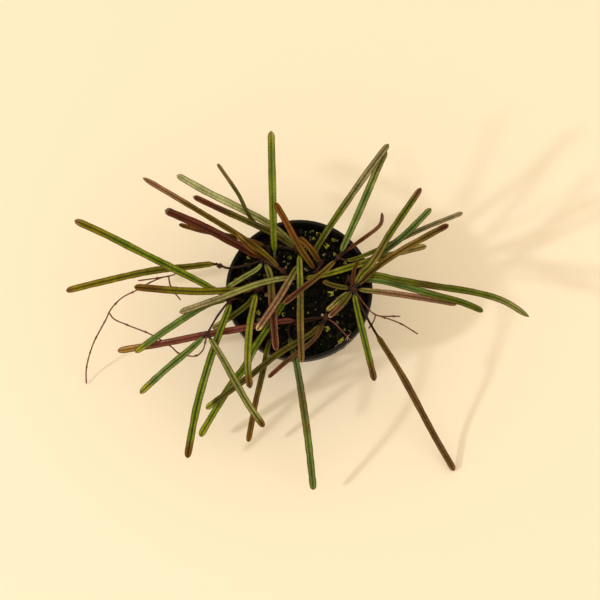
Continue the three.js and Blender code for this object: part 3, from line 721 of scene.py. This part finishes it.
stem_bark = bark_material("thin_stem_bark", "#200E06", "#4A2614", "#5E3C22")
vine_bark = bark_material("young_vine_bark", "#482614", "#784830", "#8A6450")

# %% Tubes and knobs
VINE_RADIUS = 0.6
BURIED_TO = 60  # height where a stem ends in the soil


def tube(shape, route, radius, sides, step, swell_at=(), swell=0.0, seed=0.0, blunt=False):
    """A round stem along route. It swells by mm near each distance in swell_at."""
    points, along, at = smooth_path(np.array(route, float), step)
    across, up = carried_frame(along)
    size = radius * (1 + 0.09 * wander(seed, at, 5))
    for place in swell_at:
        size += swell * np.exp(-((at - place) / (1.6 * radius)) ** 2)
    if not blunt:
        size *= np.sqrt(np.clip((at[-1] - at) / (1.5 * radius), 0.05, 1))
    turn = np.linspace(0, 2 * np.pi, sides, endpoint=False)
    rings = (points[:, None] + (np.cos(turn)[None] * size[:, None])[..., None] * across[:, None]
             + (np.sin(turn)[None] * size[:, None])[..., None] * up[:, None])
    shape.sweep(rings)
    return points, along, at


def plain_ball(subdivisions):
    """The corners and faces of a ball of radius 1."""
    ball = bmesh.new()
    bmesh.ops.create_icosphere(ball, subdivisions=subdivisions, radius=1)
    made = [v.co.copy() for v in ball.verts], [[v.index for v in f.verts] for f in ball.faces]
    ball.free()
    return made


def knob(shape, place, radius, seed, stretch=(1, 1, 1.15)):
    """A gnarled swelling: a fine ball pushed in and out by noise."""
    corners, faces = plain_ball(3)
    spots = []
    for corner in corners:
        bulge = 1 + 0.22 * noise.noise(corner * 1.7 + Vector((seed * 3.1, 0, 0))) \
            + 0.10 * noise.noise(corner * 4.5 + Vector((0, seed * 5.3, 0)))
        spots.append(np.array(corner * bulge * radius) * stretch + place)
    shape.add(spots, faces)


def spur(shape, place, direction, length, radius, seed):
    """A short bud or scar that stands out from a node."""
    direction = np.asarray(direction, float) / np.linalg.norm(direction)
    route = [place, place + direction * length * 0.5, place + direction * length]
    tube(shape, route, radius, sides=7, step=length / 5, seed=seed)


print("a knob has", len(plain_ball(3)[0]), "points")

# %% Grow the stems and vines
COLLAR = 74                       # height where a stem stands clear of the soil
SPURS = 5                         # buds and scars on each swelling
FIRST_NODE, NODE_SPACING = 9, 17  # along a vine
draw = random.Random(12)
for order, (name, stem) in enumerate(PLANT.items()):
    wood = Shape()
    x, y = stem.foot
    rise = [np.array(p, float) for p in stem.rise]
    tube(wood, [(x, y, BURIED_TO), (x, y, COLLAR), *rise], stem.radius, sides=14, step=1.2,
         swell_at=[16, 24], swell=0.25, seed=order + 0.3, blunt=True)
    places = [rise[number] for number in sorted({one.start for one in stem.leaves})]
    places += [np.array(one.joint) for one in stem.leaves if one.joint]
    for number, place in enumerate(places):
        knob(wood, place, stem.knob, order * 4 + number)
        for _ in range(SPURS):
            way = np.array([draw.uniform(-1, 1), draw.uniform(-1, 1), draw.uniform(-0.1, 1)])
            spur(wood, place + way * 0.45 * stem.knob, way, draw.uniform(1.1, 1.6) * stem.knob,
                 0.3 * stem.knob, draw.random())
    if stem.stub:
        spur(wood, rise[-1], stem.stub, math.hypot(*stem.stub), radius=0.8, seed=order)
    wood.piece("wood_of_" + name, stem_bark, "stem")
    if not stem.vines:
        continue
    vines = Shape()
    for number, route in enumerate(stem.vines):
        length = sum(math.dist(a, b) for a, b in zip(route, route[1:]))
        nodes_at = np.arange(FIRST_NODE, length - 4, NODE_SPACING)
        points, along, at = tube(vines, route, VINE_RADIUS, sides=8, step=1.0, swell_at=nodes_at,
                                 swell=0.28, seed=order + number * 1.7)
        for place in nodes_at:
            here = int(np.argmin(np.abs(at - place)))
            way = np.cross(along[here], (draw.uniform(-1, 1), draw.uniform(-1, 1), 0.7))
            spur(vines, points[here], way + along[here] * 0.4, length=1.5, radius=0.38,
                 seed=draw.random())
    vines.piece("vines_of_" + name, vine_bark, "stem")

# %% [markdown]
# ## The nursery pot
# The pot is injection moulded from black polypropylene: thin, slightly flexible and satin, with
# a fine texture from the mould that breaks up the highlights. A thrown pot could be one lathed
# profile. This one is too, but the mould also leaves drainage holes, so the profile is spun
# first and the holes are cut with a boolean, which keeps the wall an exact thickness.

# %% Pot plastic material
pot_plastic, tree = start_material("moulded_black_polypropylene")
POLYPROPYLENE_IOR = 1.49
MOULD_GRAIN_MM = 0.7  # real mould texture is near 0.2 mm, drawn coarser so that it shows
DUST_MM = 26.0        # patches of dried splashes
where = add(tree, "TexCoord").outputs["Object"]
grain = add(tree, "TexNoise", {"Vector": where, "Scale": 1000 / MOULD_GRAIN_MM, "Detail": 2.0})
haze = add(tree, "TexNoise", {"Vector": where, "Scale": 1000 / DUST_MM, "Detail": 5.0,
                              "Roughness": 0.65})
dust = add(tree, "MapRange", {"Value": haze, "From Min": 0.52, "From Max": 0.78, "To Max": 0.15},
           interpolation_type="SMOOTHSTEP")
plastic = add(tree, "Mix", {"Factor": dust, "A": rgba("#080808"), "B": rgba("#302C26")},
              data_type="RGBA")
shine = add(tree, "MapRange", {"Value": haze, "From Min": 0.3, "From Max": 0.7, "To Min": 0.36,
                               "To Max": 0.56})
mould_bump = add(tree, "Bump", {"Height": grain, "Strength": 0.25, "Distance": 0.0002})
show(pot_plastic, add(tree, "BsdfPrincipled", {"Base Color": plastic, "Roughness": shine,
                                               "Normal": mould_bump, "IOR": POLYPROPYLENE_IOR,
                                               "Specular IOR Level": 0.25}))

# %% Spin the pot
RIM_RADIUS, POT_HEIGHT, BASE_RADIUS, WALL = 60, 80, 38, 1.4
SHOULDER_RADIUS, BAND_BOTTOM, FLOOR_TOP, RECESS = 58.4, 72, 4.0, 2.4
PAD_RADIUS, FOOT_INNER, POT_SIDES = 14, 34, 160


def outer(height):
    return BASE_RADIUS + (SHOULDER_RADIUS - BASE_RADIUS) * height / POT_HEIGHT


def inner(height):
    return outer(height) - WALL


# Out along the underside, up the wall, over the banded rim and down the inside
POT_PROFILE = [
    (0, 0), (PAD_RADIUS - 0.3, 0), (PAD_RADIUS, 0.3), (PAD_RADIUS + 1.4, RECESS - 0.2),
    (PAD_RADIUS + 1.8, RECESS), (FOOT_INNER - 1.8, RECESS), (FOOT_INNER - 1.4, RECESS - 0.2),
    (FOOT_INNER - 0.1, 0.15), (FOOT_INNER + 0.3, 0), (BASE_RADIUS - 0.7, 0),
    (BASE_RADIUS - 0.2, 0.2), (BASE_RADIUS, 0.7), (outer(3), 3), (outer(9), 9),
    (outer(9.4) - 0.35, 9.6), *((outer(h), h) for h in (24, 40, 56, 70, 71.3)),
    (outer(71.8) + 0.3, 71.8), (RIM_RADIUS - 0.7, BAND_BOTTOM),
    (RIM_RADIUS - 0.15, BAND_BOTTOM + 0.2), (RIM_RADIUS, BAND_BOTTOM + 0.8), (RIM_RADIUS, 78.6),
    (RIM_RADIUS - 0.15, 79.4), (RIM_RADIUS - 0.6, 79.9), (RIM_RADIUS - 1.2, POT_HEIGHT),
    (inner(80) + 0.9, POT_HEIGHT), (inner(80) + 0.3, 79.85), (inner(79.5), 79.4), (inner(76), 76),
    (inner(75.4) - 0.35, 75.2), (inner(74.6) - 0.35, 74.6),
    *((inner(h), h) for h in (74, 60, 40, 20, 6)), (inner(5) - 0.7, 4.6),
    (inner(4) - 2, FLOOR_TOP), (0, FLOOR_TOP)]


def spin(profile, sides):
    """Rings of a profile of (radius, height) turned about the pot's axis."""
    turn = np.linspace(0, 2 * np.pi, sides, endpoint=False)
    return np.stack([np.stack([max(r, 0.02) * np.cos(turn), max(r, 0.02) * np.sin(turn),
                               np.full(sides, h)], axis=1) for r, h in profile])


spun = Shape()
spun.sweep(spin(POT_PROFILE, POT_SIDES)[:, ::-1])
pot = spun.piece("nursery_pot", pot_plastic, "pot_plastic", replaced="pot")

# %% Cut the drainage holes
HOLES, HOLE_RADIUS, HOLE_CIRCLE = 6, 4.5, 24
drills = Shape()
for hole in range(HOLES):
    turn = hole / HOLES * 2 * math.pi
    rings = spin([(HOLE_RADIUS, -1), (HOLE_RADIUS, 6)], sides=32)
    rings[..., 0] += HOLE_CIRCLE * math.cos(turn)
    rings[..., 1] += HOLE_CIRCLE * math.sin(turn)
    drills.sweep(rings)
drill_mesh = bpy.data.meshes.new("drill")
drill_mesh.from_pydata(np.concatenate(drills.points) * MM, [], drills.faces)
drill = bpy.data.objects.new("drill", drill_mesh)
scene.collection.objects.link(drill)
cut = pot.modifiers.new("drainage holes", "BOOLEAN")
cut.object, cut.operation, cut.solver = drill, "DIFFERENCE", "EXACT"

# The cut pot's mesh takes the place of the plain one, so the modifier can go
bpy.context.view_layer.update()
holed = bpy.data.meshes.new_from_object(
    pot.evaluated_get(bpy.context.evaluated_depsgraph_get()))
pot.modifiers.clear()
pot.data = holed
bpy.data.objects.remove(drill)
pot.data.set_sharp_from_angle(angle=math.radians(35))
print("pot faces:", len(pot.data.polygons))

# %% [markdown]
# ## The potting mix
# Hoyas grow in an open mix of bark, peat and grit, damp and nearly black. One bumpy surface
# would read as tar, because it has no separate pieces and no gaps. So a fine mound carries a few
# thousand loose chips, each its own small closed body, sunk partly into the mound.

# %% Potting mix material
potting_mix, tree = start_material("damp_bark_and_peat")
FIBRE_MM = 0.8                      # crumbs and fibres of peat
BARK_FROM, GRIT_FROM = 0.72, 0.984  # a chip's kind goes from 0 to 1: peat, bark, grit
where = add(tree, "TexCoord").outputs["Object"]
kind = add(tree, "Attribute", attribute_name="chip_kind").outputs["Fac"]
fibre = add(tree, "TexNoise", {"Vector": where, "Scale": 1000 / FIBRE_MM, "Detail": 3.0,
                               "Roughness": 0.65})
peat, bark_chip, grit = (
    add(tree, "Mix", {"Factor": fibre, "A": rgba(dark), "B": rgba(light)}, data_type="RGBA")
    for dark, light in (("#020302", "#0A0D06"), ("#0A0A06", "#282412"), ("#544C3A", "#8E866A")))
crumb = peat
for chip, kind_from in ((bark_chip, BARK_FROM), (grit, GRIT_FROM)):
    is_chip = add(tree, "Math", (kind, kind_from), operation="GREATER_THAN")
    crumb = add(tree, "Mix", {"Factor": is_chip, "A": crumb, "B": chip}, data_type="RGBA")
damp = add(tree, "MapRange", {"Value": fibre, "To Min": 0.55, "To Max": 0.95})
crumb_bump = add(tree, "Bump", {"Height": fibre, "Strength": 0.7, "Distance": 0.0004})
show(potting_mix, add(tree, "BsdfPrincipled", {"Base Color": crumb, "Roughness": damp,
                                               "Normal": crumb_bump, "Specular IOR Level": 0.12}))

# %% The mound
SOIL_TOP, SOIL_MOUND, SOIL_RELIEF, SEAT_GAP = 72, 1.2, 0.7, 0.3
SOIL_RINGS, SOIL_SIDES = 56, 180
SOIL_RADIUS = inner(SOIL_TOP) - SEAT_GAP * 1.2
SOIL_BOTTOM = FLOOR_TOP + SEAT_GAP


def soil_height(x, y):
    """The solid's mound and clods, with finer lumps on top."""
    share = min(math.hypot(x, y) / SOIL_RADIUS, 1)
    clods = math.sin(x * 0.41 + y * 0.13) * math.cos(y * 0.37 - x * 0.17)
    lumps = noise.noise(Vector((x * 0.35, y * 0.35, 2.0))) \
        + 0.5 * noise.noise(Vector((x * 0.9, y * 0.9, 7.0)))
    return SOIL_TOP + SOIL_MOUND * (1 - share * share) + SOIL_RELIEF * clods + 0.9 * lumps


rim_down = [(SOIL_RADIUS * s, SOIL_TOP) for s in np.linspace(0, 1, SOIL_RINGS)]
wall_down = [(inner(h) - SEAT_GAP * 1.2, h) for h in (69, 60, 45, 30, 15, FLOOR_TOP + 3)]
profile = [*rim_down, *wall_down, (inner(FLOOR_TOP) - 3, SOIL_BOTTOM), (0, SOIL_BOTTOM)]
rings = spin(profile, SOIL_SIDES)
for ring in rings[:SOIL_RINGS]:
    for corner in ring:
        corner[2] = soil_height(corner[0], corner[1])
mound = Shape()
mound.sweep(rings, chip_kind=0.0)
mound.piece("potting_mix", potting_mix, "potting_mix", replaced="soil")

# %% Loose chips


def angular_chip(size, rng):
    """A broken chip: a small ball cut to facets, flattened and turned at random."""
    corners, faces = plain_ball(1 if size < 2.6 else 2)
    offset = Vector((rng.uniform(0, 99), rng.uniform(0, 99), 0))
    flat = np.array([1.0, rng.uniform(0.55, 0.95), rng.uniform(0.35, 0.75)]) * size / 2
    axis = Vector((rng.gauss(0, 1), rng.gauss(0, 1), rng.gauss(0, 1))).normalized()
    turned = axis.rotation_difference(Vector((0, 0, 1))).to_matrix()
    points = []
    for corner in corners:
        push = 1 + 0.55 * noise.noise(corner * 1.4 + offset)
        points.append(turned @ Vector([c * f for c, f in zip(corner * push, flat)]))
    return np.array(points), faces


def random_spot(within, rng):
    """A spot on the soil, as likely in one place as another within this radius."""
    radius, turn = within * math.sqrt(rng.random()), rng.uniform(0, 2 * math.pi)
    return radius * math.cos(turn), radius * math.sin(turn)


draw = random.Random(5)
CHIP_SIZES = (1.8, 2.1, 2.4, 2.5) * 6 + (3.0, 3.8, 4.6, 5.6) * 6
CHIP_COUNT = 2600
patterns = [angular_chip(size, draw) for size in CHIP_SIZES]
chips = Shape()
for _ in range(CHIP_COUNT):
    x, y = random_spot(SOIL_RADIUS - 1.0, draw)
    points, faces = patterns[int(len(patterns) * draw.random() ** 1.5)]
    spin_by = draw.uniform(0, 2 * math.pi)
    c, s = math.cos(spin_by), math.sin(spin_by)
    turned = points @ np.array([[c, s, 0], [-s, c, 0], [0, 0, 1]])
    lift = draw.uniform(-0.3, 0.7)
    chips.add(turned + (x, y, soil_height(x, y) + lift), faces, chip_kind=draw.random())
chips.piece("loose_chips", potting_mix, "potting_mix", smooth=False)

# %% [markdown]
# ## Moss, sprouts and root whiskers
# Bright specks of moss and tiny sprouts stand on the damp mix, and a few pale root whiskers
# reach for the rim at the front right. They are small, but they are what makes the dark surface
# look alive. Each sprout is a spray of small folded leaflets, because a green ball would look
# like a bead.

# %% Sprout and whisker materials
LEAFLET_BLOTCH_MM = 1.1  # paler and darker spots on a leaflet
ROOT_STAIN_MM = 2.5      # soil stains along a dry root
sprout_skin, tree = start_material("young_moss_and_sprouts")
fresh = add(tree, "Attribute", attribute_name="freshness").outputs["Fac"]
where = add(tree, "TexCoord").outputs["Object"]
cells = add(tree, "TexNoise", {"Vector": where, "Scale": 1000 / LEAFLET_BLOTCH_MM})
young = add(tree, "Mix", {"Factor": fresh, "A": rgba("#26320A"), "B": rgba("#A8AE2A")},
            data_type="RGBA")
cell_dark = add(tree, "MapRange", {"Value": cells, "To Min": 0.7, "To Max": 1.25})
young = add(tree, "VectorMath", (young.outputs[2], cell_dark), operation="MULTIPLY")
show(sprout_skin, add(tree, "BsdfPrincipled", {"Base Color": young, "Roughness": 0.55}))

root_skin, tree = start_material("pale_dry_root")
where = add(tree, "TexCoord").outputs["Object"]
stain = add(tree, "TexNoise", {"Vector": where, "Scale": 1000 / ROOT_STAIN_MM})
root = add(tree, "Mix", {"Factor": stain, "A": rgba("#7A6250"), "B": rgba("#B89C88")},
           data_type="RGBA")
show(root_skin, add(tree, "BsdfPrincipled", {"Base Color": root, "Roughness": 0.7}))

# %% Sprouts and moss


def leaflet(shape, base, direction, length, width, freshness):
    """A small pointed leaf, folded along its middle and closed underneath."""
    direction = direction / np.linalg.norm(direction)
    side = level_side(direction)
    up = np.cross(side, direction)
    rings = []
    for share in (0, 0.15, 0.4, 0.65, 0.85, 1):
        half = width / 2 * max(0.08, math.sin(math.pi * (0.08 + 0.88 * share)) ** 0.8)
        centre = base + direction * length * share - up * 0.25 * length * share ** 2
        rings.append([centre + side * a * half + up * (abs(a) * 0.35 - b) * half
                      for a, b in ((-1, 0), (0, 0), (1, 0), (0.8, 0.3), (0, 0.35), (-0.8, 0.3))])
    shape.sweep(np.array(rings), freshness=freshness)


def spray(shape, x, y, size, leaflets, freshness, rng):
    """Leaflets that fan out from one spot on the soil."""
    base = np.array([x, y, soil_height(x, y) + 0.6])
    first = rng.uniform(0, 2 * math.pi)
    for number in range(leaflets):
        turn = first + number * 2.4
        way = np.array([math.cos(turn), math.sin(turn), rng.uniform(0.4, 1.3)])
        leaflet(shape, base, way, size * rng.uniform(0.7, 1.0), size * rng.uniform(0.65, 0.9),
                min(1, max(0, freshness + rng.uniform(-0.2, 0.2))))


MOSS_SPECKS = 150
draw = random.Random(31)
sprouts = Shape()
for x, y, size, count, freshness in [
        (22.4, -32.4, 3.6, 4, 0.8), (25.8, -2.2, 3.2, 9, 1.0), (33.3, -43, 2.4, 4, 1.0),
        (34.8, -40.9, 2.2, 4, 1.0), (22.4, 39.2, 3.2, 5, 1.0), (15.8, 49.2, 3.0, 4, 1.0),
        (10.4, 51, 2.6, 3, 0.7), (5, 50, 2.6, 3, 0.7), (28.3, 44.5, 2.2, 5, 0.9),
        (12, 45, 2.6, 3, 0.5), (29.1, 31.8, 2.2, 5, 1.0), (-7.8, 28.4, 2.4, 5, 0.8),
        (-41.6, 29.2, 2.2, 4, 0.8), (-33.5, -18.3, 2.8, 5, 0.9), (-12.8, -20, 2.4, 4, 0.8),
        (-13, -9, 2.2, 4, 0.6), (-52, 10, 2.2, 5, 0.6), (37.4, 24.2, 2.2, 4, 0.7),
        (24, -38, 2.0, 4, 0.7), (31, -20, 2.2, 4, 0.5), (36, -12, 2.2, 3, 0.5),
        (5, 38, 2.4, 3, 0.4), (14, 33, 2.2, 3, 0.4), (-20, 40, 2.2, 3, 0.3)]:
    spray(sprouts, x, y, size, count, freshness, draw)
for _ in range(MOSS_SPECKS):
    x, y = random_spot(SOIL_RADIUS - 3, draw)
    spray(sprouts, x, y, draw.uniform(0.8, 1.7), draw.choice((3, 4)), draw.uniform(0.0, 0.5), draw)
sprouts.piece("moss_and_sprouts", sprout_skin, "sprout")

# %% Root whiskers, and dry scars on two nodes
ROOT_RADIUS = 0.24
whiskers = Shape()
for route in [[(39, -41, 82), (41, -43, 80), (42, -40, 76.5), (41.5, -36, 73)],
              [(39, -41, 82), (41, -39, 81), (42, -36, 78), (40, -33, 73.5)],
              [(39, -41, 82), (37, -44, 79), (35, -46, 75), (31, -47, 73)],
              [(39, -41, 82), (39, -45, 79), (37, -48, 75), (33, -50, 72.6)],
              [(37, -44, 79), (32, -46, 78), (28, -49, 76), (25, -51, 73)],
              [(41, -43, 80), (43, -42, 78), (42, -39, 74), (39, -37, 73)],
              [(25, -49, 73), (24.6, -50.5, 75.5), (24, -51.5, 76), (23.4, -51, 73)]]:
    tube(whiskers, route, ROOT_RADIUS, sides=6, step=0.7, seed=route[1][0])
for number, (place, radius) in enumerate([((18.8, -23.8, 85.5), 1.2), ((-10.8, 15, 90), 1.0)]):
    knob(whiskers, place, radius, number + 5.5, stretch=(1, 0.9, 0.8))
whiskers.piece("root_whiskers", root_skin, "stem")
